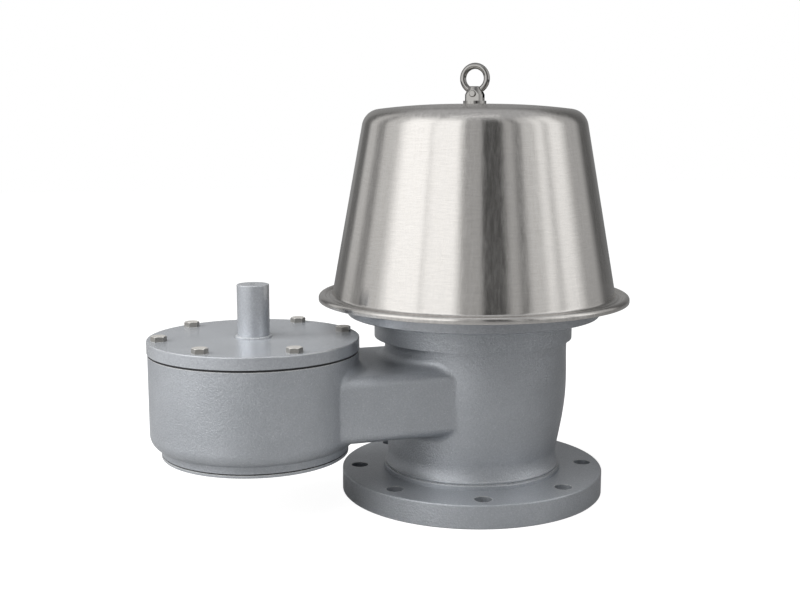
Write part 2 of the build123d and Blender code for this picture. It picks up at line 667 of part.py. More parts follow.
# Inlet screen under the chamber, held by a painted ring with countersunk screws
screen_low = skirt_low - inlet_screen_t
ring_low = screen_low - inlet_ring_t
screw_circle = skirt_r - skirt_wall / 2
mesh_r = skirt_r - skirt_wall
inlet_screen = disc(skirt_r - 1.5, screen_low, skirt_low)
half_count = int(mesh_r // inlet_mesh_pitch)
cells = [(i * inlet_mesh_pitch, j * inlet_mesh_pitch)
         for i in range(-half_count, half_count + 1) for j in range(-half_count, half_count + 1)]
mesh_reach = mesh_r - inlet_mesh_hole * 0.75
openings = [Pos(cx, cy, screen_low) * Box(inlet_mesh_hole, inlet_mesh_hole, 6)
            for cx, cy in cells if cx * cx + cy * cy < mesh_reach * mesh_reach]
inlet_screen -= openings
inlet_ring = ring(mesh_r, skirt_r, ring_low, screen_low)
inlet_ring = chamfer(inlet_ring.edges().sort_by(Axis.Z)[0], 0.6)
countersink = Pos(0, 0, ring_low) * Cone(2 * inlet_screw_r, inlet_screw_r, inlet_screw_r,
                                         align=(Align.CENTER, Align.CENTER, Align.MIN))
screw_blank = countersink + disc(inlet_screw_r, ring_low, skirt_low + 6)
clearance_cut = around(disc(inlet_screw_r + 0.2, ring_low - 1, skirt_low + 1) + countersink, screw_circle,
                       inlet_screw_count, 30)
inlet_screen -= clearance_cut
inlet_ring -= clearance_cut
drive = hex_prism(3.0, ring_low - 1, ring_low + 1.6)
save(Pos(chamber_x, 0, 0) * inlet_screen, "inlet_screen")
save(Pos(chamber_x, 0, 0) * inlet_ring, "inlet_ring")
save(around(screw_blank - drive, screw_circle, inlet_screw_count, 30, chamber_x), "inlet_ring_screws")

# Lifting eye: washer on the crown, clevis screwed on the rod, pin and ring
save(ring(rod_r, eye_washer_r, hood_crown_z, eye_base_z), "eye_washer")
facing = Rot(0, 0, eye_turn)            # local X is the pin's axis
clevis = turned([(0, eye_base_z), (clevis_r, eye_base_z), (clevis_r, clevis_shoulder_z),
                 (clevis_top_r, clevis_top), (0, clevis_top)])
clevis = fillet(rims(clevis, clevis_top_r) + rims(clevis, clevis_r)[-1:], 1.5)
clevis &= Pos(0, 0, eye_base_z) * Box(clevis_flats, 60, 60, align=(Align.CENTER, Align.CENTER, Align.MIN))
slot_low = eye_base_z + clevis_base
clevis -= Pos(0, 0, slot_low) * Box(clevis_slot, 60, 60, align=(Align.CENTER, Align.CENTER, Align.MIN))
clevis -= disc(rod_r, eye_base_z - 1, slot_low + 1)
pin_hole = Pos(0, 0, eye_pin_z) * Rot(0, 90, 0) * Cylinder(eye_pin_r, 60)
clevis -= pin_hole
pin = Pos(0, 0, eye_pin_z) * Rot(0, 90, 0) * Cylinder(eye_pin_r, clevis_flats + 1)
head = Rot(0, -90, 0) * extrude(Circle(eye_pin_head_r), eye_pin_head_h)
head = fillet(head.edges().sort_by(Axis.X)[0], 1.2)
pin += Pos(-clevis_flats / 2, 0, eye_pin_z) * head
eye_ring = Pos(0, 0, eye_ring_z) * Rot(0, 90, 0) * Torus(eye_ring_mid_r, eye_ring_wire_r)
lug = Pos(0, 0, eye_pin_z) * Rot(0, 90, 0) * Cylinder(eye_lug_r, 2 * eye_ring_wire_r - 0.6)
eye_ring += lug
eye_ring -= Pos(0, 0, eye_pin_z) * Rot(0, 90, 0) * Cylinder(eye_pin_r + fit_gap, 60)
save(facing * clevis, "eye_clevis")
save(facing * pin, "eye_pin")
save(facing * eye_ring, "eye_ring")
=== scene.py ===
import bpy
import math
import numpy as np
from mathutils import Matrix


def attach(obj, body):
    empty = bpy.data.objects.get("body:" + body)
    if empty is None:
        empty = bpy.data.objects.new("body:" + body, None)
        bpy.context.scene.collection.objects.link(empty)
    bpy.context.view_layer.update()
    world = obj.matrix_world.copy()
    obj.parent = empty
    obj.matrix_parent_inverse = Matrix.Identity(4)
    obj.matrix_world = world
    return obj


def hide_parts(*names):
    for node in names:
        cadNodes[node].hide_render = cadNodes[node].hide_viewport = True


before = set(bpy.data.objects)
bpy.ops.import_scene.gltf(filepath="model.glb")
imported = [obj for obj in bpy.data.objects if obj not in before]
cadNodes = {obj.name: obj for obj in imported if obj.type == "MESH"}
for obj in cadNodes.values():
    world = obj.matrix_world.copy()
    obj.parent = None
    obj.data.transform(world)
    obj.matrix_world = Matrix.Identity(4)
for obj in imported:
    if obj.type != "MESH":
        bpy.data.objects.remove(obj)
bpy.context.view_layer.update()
mm = 0.001

# camera at the photograph's place, in metres, degrees and millimetres of lens; the pictures are 800 x 600
camera = {"place": (-0.5565, -1.3576, 0.4743), "turn": (81.25, 0.0, -18.6), "lens": 51.4, "sensor": 36.0,
          "clip": (0.05, 60.0)}


def placeCamera(values):
    view = bpy.data.cameras.new("viewCamera")
    view.lens = values["lens"]
    view.sensor_width = values["sensor"]
    view.clip_start, view.clip_end = values["clip"]
    holder = bpy.data.objects.new("viewCamera", view)
    holder.location = values["place"]
    holder.rotation_euler = [math.radians(angle) for angle in values["turn"]]
    bpy.context.scene.collection.objects.link(holder)
    bpy.context.scene.camera = holder


placeCamera(camera)
bpy.context.scene.view_settings.view_transform = "Standard"
print("camera placed")


# a node with its settings; inputs are numbers, colours or sockets to link
def put(tree, kind, inputs=None, **settings):
    node = tree.nodes.new(kind)
    for name, value in settings.items():
        setattr(node, name, value)
    for name, value in (inputs or {}).items():
        socket = node.inputs[name]
        if isinstance(value, bpy.types.NodeSocket):
            tree.links.new(value, socket)
        else:
            socket.default_value = value
    return node


def math2(tree, operation, a, b=0.0):
    return put(tree, "ShaderNodeMath", {0: a, 1: b}, operation=operation).outputs[0]


def times(tree, a, b):
    return math2(tree, "MULTIPLY", a, b)


def vector2(tree, operation, a, b):
    return put(tree, "ShaderNodeVectorMath", {0: a, 1: b}, operation=operation).outputs[0]


def split3(tree, vector):
    return put(tree, "ShaderNodeSeparateXYZ", {0: vector}).outputs


def join3(tree, x, y, z):
    return put(tree, "ShaderNodeCombineXYZ", {0: x, 1: y, 2: z}).outputs[0]


def mixColour(tree, factor, a, b):
    return put(tree, "ShaderNodeMix", {0: factor, 6: a, 7: b}, data_type="RGBA").outputs[2]


def span(tree, value, low, high, toLow=0.0, toHigh=1.0):
    return put(tree, "ShaderNodeMapRange", {0: value, 1: low, 2: high, 3: toLow, 4: toHigh}).outputs[0]


def noise(tree, vector, scale, detail, rough):
    return put(tree, "ShaderNodeTexNoise",
               {"Vector": vector, "Scale": scale, "Detail": detail, "Roughness": rough}).outputs[0]


def objectPlace(tree):
    return tree.nodes.new("ShaderNodeTexCoord").outputs["Object"]


def plainNormal(tree):
    return tree.nodes.new("ShaderNodeNewGeometry").outputs["Normal"]


# an empty shader group; inputs are (name, start value), outputs are names
def newGroup(name, inputs, outputs):
    tree = bpy.data.node_groups.new(name, "ShaderNodeTree")
    for label, value in inputs:
        kind = "NodeSocketVector" if isinstance(value, tuple) else "NodeSocketFloat"
        tree.interface.new_socket(label, in_out="INPUT", socket_type=kind).default_value = value
    for label in outputs:
        tree.interface.new_socket(label, in_out="OUTPUT", socket_type="NodeSocketFloat")
    return tree, tree.nodes.new("NodeGroupInput").outputs, tree.nodes.new("NodeGroupOutput").inputs


# places a group; underscores in the keywords stand for spaces in the socket names
def useGroup(tree, group, **values):
    node = tree.nodes.new("ShaderNodeGroup")
    node.node_tree = group
    for name, value in values.items():
        socket = node.inputs[name.replace("_", " ")]
        if isinstance(value, bpy.types.NodeSocket):
            tree.links.new(value, socket)
        else:
            socket.default_value = value
    return node.outputs


# noise layers as (detail, roughness), shares of the height, scales beside the peel's, and mask limits
skinLayers = {"peel": (3.0, 0.62), "lumps": (2.0, 0.5), "tone": (4.0, 0.6), "speck": (1.0, 0.5), "pits": (1.0, 0.4),
              "peelShare": 0.75, "lumpShare": 0.25, "toneScale": 11.0, "speckScale": 1.7, "pitScale": 0.45,
              "toneLimits": (0.35, 0.65), "grainLimits": (0.34, 0.66), "speckLimits": (0.60, 0.72),
              "pitLimits": (0.68, 0.78)}


# Cast skin under paint. height = 0.75 peel + 0.25 lumps - pits; tone is a slow cloud, grain the same peel
# noise sharpened, speck the brightest points of a finer one
def castSkinGroup(values):
    tree, given, made = newGroup("castSkin", [("Peel Scale", 520.0), ("Lump Scale", 150.0), ("Pits", 0.3)],
                                 ["Height", "Tone", "Grain", "Speck"])
    here = objectPlace(tree)
    peel = noise(tree, here, given["Peel Scale"], *values["peel"])
    lumps = noise(tree, here, given["Lump Scale"], *values["lumps"])
    slow = noise(tree, here, values["toneScale"], *values["tone"])
    speck = noise(tree, here, times(tree, given["Peel Scale"], values["speckScale"]), *values["speck"])
    pitNoise = noise(tree, here, times(tree, given["Peel Scale"], values["pitScale"]), *values["pits"])
    pits = times(tree, span(tree, pitNoise, *values["pitLimits"]), given["Pits"])
    height = math2(tree, "ADD", times(tree, peel, values["peelShare"]), times(tree, lumps, values["lumpShare"]))
    tree.links.new(math2(tree, "SUBTRACT", height, pits), made["Height"])
    tree.links.new(span(tree, slow, *values["toneLimits"]), made["Tone"])
    tree.links.new(span(tree, peel, *values["grainLimits"]), made["Grain"])
    tree.links.new(span(tree, speck, *values["speckLimits"]), made["Speck"])
    return tree


edgeMask = {"samples": 6, "leanLimits": (0.008, 0.12), "upLimits": (0.05, 0.35), "gapNoise": (210.0, 3.0, 0.6),
            "gapLimits": (0.35, 0.62)}


# Edge mask for paint wear and a painted highlight: how far a rounded normal leans from the flat one, broken up
# by noise; edges that look sideways or down keep only the share Sideways, so the pale edges sit where overhead light
# would catch them
def wornAndHighlitEdgeGroup(values):
    tree, given, made = newGroup("wornAndHighlitEdges", [("Width", 0.0012), ("Break Up", 0.5), ("Sideways", 0.0)], ["Edge"])
    soft = put(tree, "ShaderNodeBevel", {"Radius": given["Width"]}, samples=values["samples"]).outputs[0]
    lean = put(tree, "ShaderNodeVectorMath", {0: soft, 1: plainNormal(tree)}, operation="DOT_PRODUCT")
    edge = span(tree, math2(tree, "SUBTRACT", 1.0, lean.outputs["Value"]), *values["leanLimits"])
    upward = span(tree, split3(tree, soft)[2], *values["upLimits"])
    edge = times(tree, edge, math2(tree, "MAXIMUM", upward, given["Sideways"]))
    gaps = span(tree, noise(tree, objectPlace(tree), *values["gapNoise"]), *values["gapLimits"])
    lost = times(tree, given["Break Up"], math2(tree, "SUBTRACT", 1.0, gaps))
    tree.links.new(times(tree, edge, math2(tree, "SUBTRACT", 1.0, lost)), made["Edge"])
    return tree


brushLayers = {"noise": (2.0, 0.65), "fineShare": 0.65, "coarseShare": 0.35, "streakRise": 2.2,
               "shadeLimits": (0.36, 0.64), "streakLimits": (0.32, 0.68)}


# Brushing that follows the piece's own map: noise stretched round the piece (x, y nearly still) and tight
# along the profile (v), in a fine and a coarse layer; streak is noise the other way, tight round the piece
# and slow along the profile, as the sheet's pull over the spinning block leaves it, and the hood also paints pale
# reflection streaks from it
def brushedGroup(values):
    tree, given, made = newGroup("brushedLines", [("Fine", 1100.0), ("Coarse", 480.0), ("Stretch", 90.0),
                                                  ("Streaks", 170.0)], ["Height", "Shade", "Streak"])
    where = tree.nodes.new("ShaderNodeTexCoord")
    place = split3(tree, where.outputs["Object"])
    along = split3(tree, where.outputs["UV"])[1]
    layers = []
    for rise, spread in ((given["Fine"], given["Stretch"]), (given["Coarse"], given["Stretch"]),
                         (values["streakRise"], given["Streaks"])):
        vector = join3(tree, times(tree, place[0], spread), times(tree, place[1], spread), times(tree, along, rise))
        layers.append(noise(tree, vector, 1.0, *values["noise"]))
    height = math2(tree, "ADD", times(tree, layers[0], values["fineShare"]),
                   times(tree, layers[1], values["coarseShare"]))
    tree.links.new(height, made["Height"])
    tree.links.new(span(tree, height, *values["shadeLimits"]), made["Shade"])
    tree.links.new(span(tree, layers[2], *values["streakLimits"]), made["Streak"])
    return tree


ringLayers = {"noise": (2.0, 0.6), "sweep": 25.0, "shadeLimits": (0.3, 0.7)}


# Turned metal: rings about a vertical axis through Centre; lines follow radius + height, and the sweep
# breaks them up a little on their way round
def turnedGroup(values):
    tree, given, made = newGroup("turnedRings", [("Centre", (0.0, 0.0, 0.0)), ("Pitch", 1500.0)], ["Height", "Shade"])
    parts = split3(tree, vector2(tree, "SUBTRACT", objectPlace(tree), given["Centre"]))
    flat = join3(tree, parts[0], parts[1], 0.0)
    radius = put(tree, "ShaderNodeVectorMath", {0: flat}, operation="LENGTH").outputs["Value"]
    run = times(tree, math2(tree, "ADD", radius, parts[2]), given["Pitch"])
    swept = split3(tree, vector2(tree, "MULTIPLY", flat, (values["sweep"], values["sweep"], 0.0)))
    lines = noise(tree, join3(tree, swept[0], swept[1], run), 1.0, *values["noise"])
    tree.links.new(lines, made["Height"])
    tree.links.new(span(tree, lines, *values["shadeLimits"]), made["Shade"])
    return tree


castSkin = castSkinGroup(skinLayers)
wornAndHighlitEdges = wornAndHighlitEdgeGroup(edgeMask)
brushedLines = brushedGroup(brushLayers)
turnedRings = turnedGroup(ringLayers)
print("shared groups built")


def newMaterial(name):
    material = bpy.data.materials.new(name)
    material.use_nodes = True
    tree = material.node_tree
    tree.nodes.clear()
    shader = tree.nodes.new("ShaderNodeBsdfPrincipled")
    tree.links.new(shader.outputs[0], tree.nodes.new("ShaderNodeOutputMaterial").inputs[0])
    return material, tree, shader


def bumpFrom(tree, shader, height, values):
    bump = put(tree, "ShaderNodeBump", {"Height": height, "Strength": values["strength"], "Distance": values["depth"]})
    tree.links.new(bump.outputs[0], shader.inputs["Normal"])


# Semi-gloss blue-grey paint with a little metal flake: on the castings, and smoother on what was turned first, where a
# lighter colour also paints a highlight
castPaint = {"dark": (0.440, 0.461, 0.490, 1), "light": (0.505, 0.528, 0.560, 1), "grain": (0.305, 0.324, 0.350, 1),
             "edge": (0.88, 0.88, 0.86, 1), "speck": (0.74, 0.755, 0.77, 1), "grainShare": 0.36, "speckShare": 0.34,
             "edgeShare": 0.85, "edgeWidth": 0.0026, "edgeBreak": 0.6, "roughLow": 0.285, "roughHigh": 0.335,
             "peel": 440.0, "lump": 150.0, "pits": 0.05, "depth": 0.0010, "strength": 0.9, "flake": 0.62}
# turned faces: smoother, and lighter as a painted highlight
turnedHighlitPaint = dict(castPaint, dark=(0.500, 0.522, 0.552, 1), light=(0.560, 0.583, 0.615, 1), roughLow=0.205,
                   roughHigh=0.225, lump=60.0, pits=0.0, depth=0.0005)


def paintMaterial(name, values):
    material, tree, shader = newMaterial(name)
    skin = useGroup(tree, castSkin, Peel_Scale=values["peel"], Lump_Scale=values["lump"], Pits=values["pits"])
    wornLitEdge = useGroup(tree, wornAndHighlitEdges, Width=values["edgeWidth"], Break_Up=values["edgeBreak"])
    colour = mixColour(tree, skin["Tone"], values["dark"], values["light"])
    hollow = times(tree, math2(tree, "SUBTRACT", 1.0, skin["Grain"]), values["grainShare"])
    colour = mixColour(tree, hollow, colour, values["grain"])
    colour = mixColour(tree, times(tree, skin["Speck"], values["speckShare"]), colour, values["speck"])
    # pale upper edges: partly paint worn thin, partly a painted highlight
    colour = mixColour(tree, times(tree, wornLitEdge["Edge"], values["edgeShare"]), colour, values["edge"])
    tree.links.new(colour, shader.inputs["Base Color"])
    tree.links.new(span(tree, skin["Grain"], 0.0, 1.0, values["roughHigh"], values["roughLow"]),
                   shader.inputs["Roughness"])
    shader.inputs["Metallic"].default_value = values["flake"]
    bumpFrom(tree, shader, skin["Height"], values)
    return material


# Spun stainless sheet of the hood; the pale streaks in its colour are painted reflections
hoodSteel = {"base": (0.675, 0.653, 0.626, 1), "shade": (0.61, 0.59, 0.565, 1), "pale": (0.82, 0.80, 0.775, 1),
             "reflectionStreakShare": 0.36, "rough": 0.20, "roughSpread": 0.04, "anisotropy": 0.95, "brushTurn": 0.25,
             "fine": 900.0, "coarse": 420.0, "stretch": 70.0, "streaks": 240.0, "brushHeight": 0.06,
             "strength": 0.8, "depth": 0.00001}


def hoodMaterial(name, values):
    material, tree, shader = newMaterial(name)
    lines = useGroup(tree, brushedLines, Fine=values["fine"], Coarse=values["coarse"], Stretch=values["stretch"],
                     Streaks=values["streaks"])
    colour = mixColour(tree, lines["Shade"], values["shade"], values["base"])
    # pale vertical streaks: painted reflection, beside the streaks' real bump and roughness
    colour = mixColour(tree, times(tree, lines["Streak"], values["reflectionStreakShare"]), colour, values["pale"])
    tree.links.new(colour, shader.inputs["Base Color"])
    rough = span(tree, lines["Streak"], 0.0, 1.0, values["rough"] - values["roughSpread"],
                 values["rough"] + values["roughSpread"])
    tree.links.new(rough, shader.inputs["Roughness"])
    shader.inputs["Metallic"].default_value = 1.0
    shader.inputs["Anisotropic"].default_value = values["anisotropy"]
    shader.inputs["Anisotropic Rotation"].default_value = values["brushTurn"]
    tangent = put(tree, "ShaderNodeTangent", direction_type="UV_MAP", uv_map="brushMap")
    tree.links.new(tangent.outputs[0], shader.inputs["Tangent"])
    height = math2(tree, "ADD", lines["Streak"], times(tree, lines["Height"], values["brushHeight"]))
    bumpFrom(tree, shader, height, values)
    return material


# Turned or rolled steel; centre is the axis that the tool marks run round, side is how bright the faces that look
# sideways are beside those that look up, a painted shade on the sides as if lit from above
steel = {"base": (0.60, 0.59, 0.57, 1), "edge": (0.86, 0.85, 0.83, 1), "ringLow": 0.86, "side": 1.0,
         "sideLimits": (0.3, 0.9), "centre": (0.0, 0.0, 0.0), "pitch": 1500.0, "edgeShare": 0.4, "edgeWidth": 0.0008,
         "edgeBreak": 0.3, "rough": 0.30, "roughSpread": 0.05, "heightLimits": (0.3, 0.7), "metal": 1.0,
         "strength": 0.25, "depth": 0.00002}
chamberAxis = (-0.288, 0.0, 0.0)


def steelMaterial(name, values):
    material, tree, shader = newMaterial(name)
    rings = useGroup(tree, turnedRings, Centre=values["centre"], Pitch=values["pitch"])
    wornLitEdge = useGroup(tree, wornAndHighlitEdges, Width=values["edgeWidth"], Break_Up=values["edgeBreak"], Sideways=1.0)
    # painted shade: faces that look sideways are darkened by side
    paintedSideShade = span(tree, split3(tree, plainNormal(tree))[2], *values["sideLimits"], values["side"], 1.0)
    level = times(tree, span(tree, rings["Shade"], 0.0, 1.0, values["ringLow"], 1.0), paintedSideShade)
    colour = mixColour(tree, level, (0.0, 0.0, 0.0, 1), values["base"])
    # pale edges on all sides: partly wear, partly a painted highlight
    colour = mixColour(tree, times(tree, wornLitEdge["Edge"], values["edgeShare"]), colour, values["edge"])
    tree.links.new(colour, shader.inputs["Base Color"])
    rough = span(tree, rings["Height"], *values["heightLimits"], values["rough"] - values["roughSpread"],
                 values["rough"] + values["roughSpread"])
    tree.links.new(rough, shader.inputs["Roughness"])
    shader.inputs["Metallic"].default_value = values["metal"]
    bumpFrom(tree, shader, rings["Height"], values)
    return material


# Matt pieces: gasket sheet, film, bushes; a fine grain moves colour, roughness and bump
matt = {"base": (0.022, 0.022, 0.023, 1), "rough": 0.62, "roughSpread": 0.06, "heightLimits": (0.3, 0.7),
        "grain": 900.0, "lumpShare": 0.2, "pits": 0.1, "spread": 0.12, "metal": 0.0, "strength": 0.4,
        "depth": 0.00006}


def mattMaterial(name, values):
    material, tree, shader = newMaterial(name)
    skin = useGroup(tree, castSkin, Peel_Scale=values["grain"], Lump_Scale=values["grain"] * values["lumpShare"],
                    Pits=values["pits"])
    low = tuple(c * (1 - values["spread"]) for c in values["base"][:3]) + (1,)
    tree.links.new(mixColour(tree, skin["Tone"], low, values["base"]), shader.inputs["Base Color"])
    rough = span(tree, skin["Height"], *values["heightLimits"], values["rough"] - values["roughSpread"],
                 values["rough"] + values["roughSpread"])
    tree.links.new(rough, shader.inputs["Roughness"])
    shader.inputs["Metallic"].default_value = values["metal"]
    bumpFrom(tree, shader, skin["Height"], values)
    return material


# bolt heads: sides darkened as painted shade, edges made pale as painted highlight and wear
boltSteel = dict(steel, base=(0.80, 0.775, 0.73, 1), rough=0.16, pitch=2200.0, edgeShare=0.85, side=0.40, metal=0.6)
eyeSteel = dict(steel, base=(0.36, 0.352, 0.338, 1), rough=0.07, pitch=3000.0, edgeShare=0.12, strength=0.05)
screenSteel = dict(steel, base=(0.06, 0.06, 0.06, 1), rough=0.45, edgeShare=0.05, metal=0.4)
whiteFilm = dict(matt, base=(0.78, 0.78, 0.75, 1), rough=0.42, spread=0.05)
guideBush = dict(matt, base=(0.66, 0.63, 0.56, 1), rough=0.45, spread=0.08)
weightIron = dict(matt, base=(0.24, 0.245, 0.25, 1), rough=0.48, grain=500.0, metal=0.7, depth=0.0001)
finishes = {
    "paint": paintMaterial("castPaint", castPaint),
    "turnedHighlitPaint": paintMaterial("turnedHighlitPaint", turnedHighlitPaint),
    "hood": hoodMaterial("spunStainless", hoodSteel),
    "turned": steelMaterial("turnedSteel", steel),
    "turnedChamber": steelMaterial("turnedSteelChamber", dict(steel, centre=chamberAxis)),
    "bolt": steelMaterial("boltSteel", boltSteel),
    "eye": steelMaterial("polishedEye", eyeSteel),
    "screen": steelMaterial("screenSheet", screenSteel),
    "rubber": mattMaterial("gasketSheet", matt),
    "film": mattMaterial("whiteFilm", whiteFilm),
    "bush": mattMaterial("guideBush", guideBush),
    "iron": mattMaterial("weightIron", weightIron),
}

# the hood's own finish goes on the piece that replaces it, further down
nodeFinish = {
    "paint": ["tank_flange", "valve_body", "neck_ring", "vacuum_chamber"],
    "turnedHighlitPaint": ["seat_flange", "vacuum_cover", "inlet_ring"],
    "turned": ["hood_bridge", "hood_posts", "pressure_seat", "guide_spider", "guide_rod", "lift_stop_collar",
               "pressure_pallet", "pressure_retainer"],
    "turnedChamber": ["vacuum_seat", "vacuum_pallet", "vacuum_retainer", "vacuum_stem"],
    "bolt": ["hood_post_nuts", "screen_screws", "inlet_ring_screws", "seat_flange_screws", "rod_nut", "cover_bolts",
             "vacuum_seat_screws", "pressure_retainer_screws", "pressure_hub_nut", "vacuum_stem_nuts"],
    "eye": ["eye_washer", "eye_clevis", "eye_pin", "eye_ring"],
    "screen": ["discharge_screen", "inlet_screen"],
    "rubber": ["neck_gasket", "cover_gasket", "vacuum_seat_gasket", "hood_pad"],
    "film": ["pressure_diaphragm", "vacuum_diaphragm"],
    "bush": ["pressure_guide_bushes", "vacuum_guide_bush"],
    "iron": ["pressure_weights", "vacuum_weight"],
}
for finish, names in nodeFinish.items():
    for name in names:
        node = cadNodes[name]
        if not node.material_slots:
            node.data.materials.append(None)
        for holder in node.material_slots:
            holder.material = finishes[finish]
print("finishes on the CAD pieces")


# a mesh from arrays, in metres in the part's frame, riding on a body; mapped is its UV map, a row per point
def newPiece(name, points, faces, finish, body, replaced=(), mapped=None):
    mesh = bpy.data.meshes.new(name)
    mesh.from_pydata(points, [], faces.tolist())
    mesh.polygons.foreach_set("use_smooth", np.full(len(mesh.polygons), True))
    if mapped is not None:
        layer = mesh.uv_layers.new(name="brushMap")
        corners = np.zeros(len(mesh.loops), np.int32)
        mesh.loops.foreach_get("vertex_index", corners)
        layer.data.foreach_set("uv", mapped[corners].astype(np.float32).ravel())
    mesh.update()
    mesh.materials.append(finish)
    piece = bpy.data.objects.new(name, mesh)
    bpy.context.scene.collection.objects.link(piece)
    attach(piece, body)
    if replaced:
        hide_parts(*replaced)
    return piece


# quads of a grid whose points run row by row; each row closes on itself, and so does the grid
def gridFaces(rows, columns):
    i = np.arange(rows)[:, None]
    j = np.arange(columns)[None, :]
    ii, jj = (i + 1) % rows, (j + 1) % columns
    corners = [i * columns + j, i * columns + jj, ii * columns + jj, ii * columns + j]
    return np.stack(np.broadcast_arrays(*corners), axis=-1).reshape(-1, 4)


# points on the circle through three points, from start to end, without the start
def arcThrough(start, middle, end, count):
    a, b, c = (np.array(p, float) for p in (start, middle, end))
    lean = np.array([b - a, c - a]) * 2
    centre = np.linalg.solve(lean, np.array([b @ b - a @ a, c @ c - a @ a]))
    angles = [math.atan2(*(p - centre)[::-1]) for p in (a, b, c)]
    sweep, half = ((angles[k] - angles[0]) % (2 * math.pi) for k in (2, 1))
    if half > sweep:
        sweep -= 2 * math.pi
    t = angles[0] + sweep * np.arange(1, count + 1) / count
    return centre + np.linalg.norm(a - centre) * np.stack([np.cos(t), np.sin(t)], axis=1)


# points on a circle about a centre, one per angle
def arcAbout(centre, radius, angles):
    return centre + radius * np.stack([np.cos(angles), np.sin(angles)], axis=1)


# millimetres and degrees; the bell, then the rolled brim with its groove, then the ripple of the sheet
hood = {"hole": 8.3, "crownTop": 499.5, "crownFlat": 24.0, "crownDish": 778.0, "crownDrop": 8.59, "shoulder": 24.0,
        "sheet": 2.0, "foot": (181.2, 261.0), "taper": 10.3, "crownPoints": 15, "shoulderPoints": 17, "sidePoints": 25,
        "stepOut": 184.8, "grooveOut": 190.6, "rimOut": 199.3, "brimZ": 257.5, "groove": 1.6,
        "stepBulge": (1.08, 1.05), "stepBack": 0.5, "rollRise": 0.225, "rimDrop": 3.5, "rimSide": 2.0, "rimEdge": 2.0,
        "edgeSag": 1.1, "underRise": 1.6, "grooveUnder": 2.6, "brimPoints": (5, 8, 14, 6, 8, 5), "segments": 448,
        "ripple": 0.055, "ripples": 26, "firstRipple": 5, "rippleSeed": 11, "rippleWeights": (0.4, 1.0),
        "rippleFrom": 110.0, "rippleOver": 50.0}


# Bell outline in (r, z): dished crown arc, shoulder arc tangent to crown and side, straight tapered side.
# The shoulder's centre lies at distance (dish - shoulder) from the dish's centre and shoulder from the side line.
def bellOutline(values, inset):
    taper = math.radians(values["taper"])
    flat, top, drop = values["crownFlat"], values["crownTop"], values["crownDrop"]
    foot = np.array(values["foot"]) + np.array([-inset / math.cos(taper), 0.0])
    down = np.array([math.sin(taper), -math.cos(taper)])
    inward = np.array([-math.cos(taper), -math.sin(taper)])
    corner = np.array([values["foot"][0] - math.tan(taper) * (top - drop - values["foot"][1]), top - drop])
    chord = corner - np.array([flat, top])
    half = np.linalg.norm(chord) / 2
    low = np.array([chord[1], -chord[0]]) / (2 * half)
    dish = np.array([flat, top]) + chord / 2 + low * math.sqrt(values["crownDish"] ** 2 - half ** 2)
    radius, shoulder = values["crownDish"] - inset, values["shoulder"] - inset
    off = foot + inward * shoulder - dish
    b, c = off @ down, off @ off - (radius - shoulder) ** 2
    centre = foot + inward * shoulder + down * (-b - math.sqrt(b * b - c))
    tangent = centre - inward * shoulder
    toDish = (centre - dish) / np.linalg.norm(centre - dish)
    startAngle = math.atan2(*(np.array([flat, top - inset]) - dish)[::-1])
    touchAngle = math.atan2(*(centre + toDish * shoulder - dish)[::-1])
    crown = arcAbout(dish, radius, np.linspace(startAngle, touchAngle, values["crownPoints"]))
    sideAngle = math.atan2(*(tangent - centre)[::-1])
    turned = np.linspace(math.atan2(*toDish[::-1]), sideAngle, values["shoulderPoints"])[1:]
    side = tangent + (foot - tangent) * np.linspace(0, 1, values["sidePoints"])[1:, None]
    return np.vstack([[[values["hole"], top - inset]], crown, arcAbout(centre, shoulder, turned), side])


# Closed outline of the sheet in (r, z): down the outside, round the brim and back up the inside
def hoodOutline(values):
    outside, inside = bellOutline(values, 0.0), bellOutline(values, values["sheet"])
    z, step, groove, rim = values["brimZ"], values["stepOut"], values["grooveOut"], values["rimOut"]
    foot, bulge = outside[-1], values["stepBulge"]
    middle, dip = (rim + groove) / 2, (step + groove) / 2
    under, edge = z - values["rimDrop"] - values["rimSide"], values["rimEdge"]
    grooveUnder, count = z - values["grooveUnder"], values["brimPoints"]
    parts = [
        arcThrough(foot, (foot[0] + bulge[0], z + bulge[1]), (step, z), count[0]),
        arcThrough((step, z), (dip, z - values["groove"]), (groove, z), count[1]),
        arcThrough((groove, z), (middle, z + (rim - groove) * values["rollRise"]), (rim, z - values["rimDrop"]),
                   count[2]),
        np.array([[rim, under]]),
        arcThrough((rim, under), (rim - edge / 2, under - values["edgeSag"]), (rim - edge, under), count[3]),
        arcThrough((rim - edge, under), (middle, z - values["underRise"]), (groove, grooveUnder), count[4]),
        arcThrough((groove, grooveUnder), (dip, z - values["groove"] - values["sheet"]),
                   (step - values["stepBack"], z - values["sheet"]), count[5]),
    ]
    return np.vstack([outside, *parts, inside[::-1]])


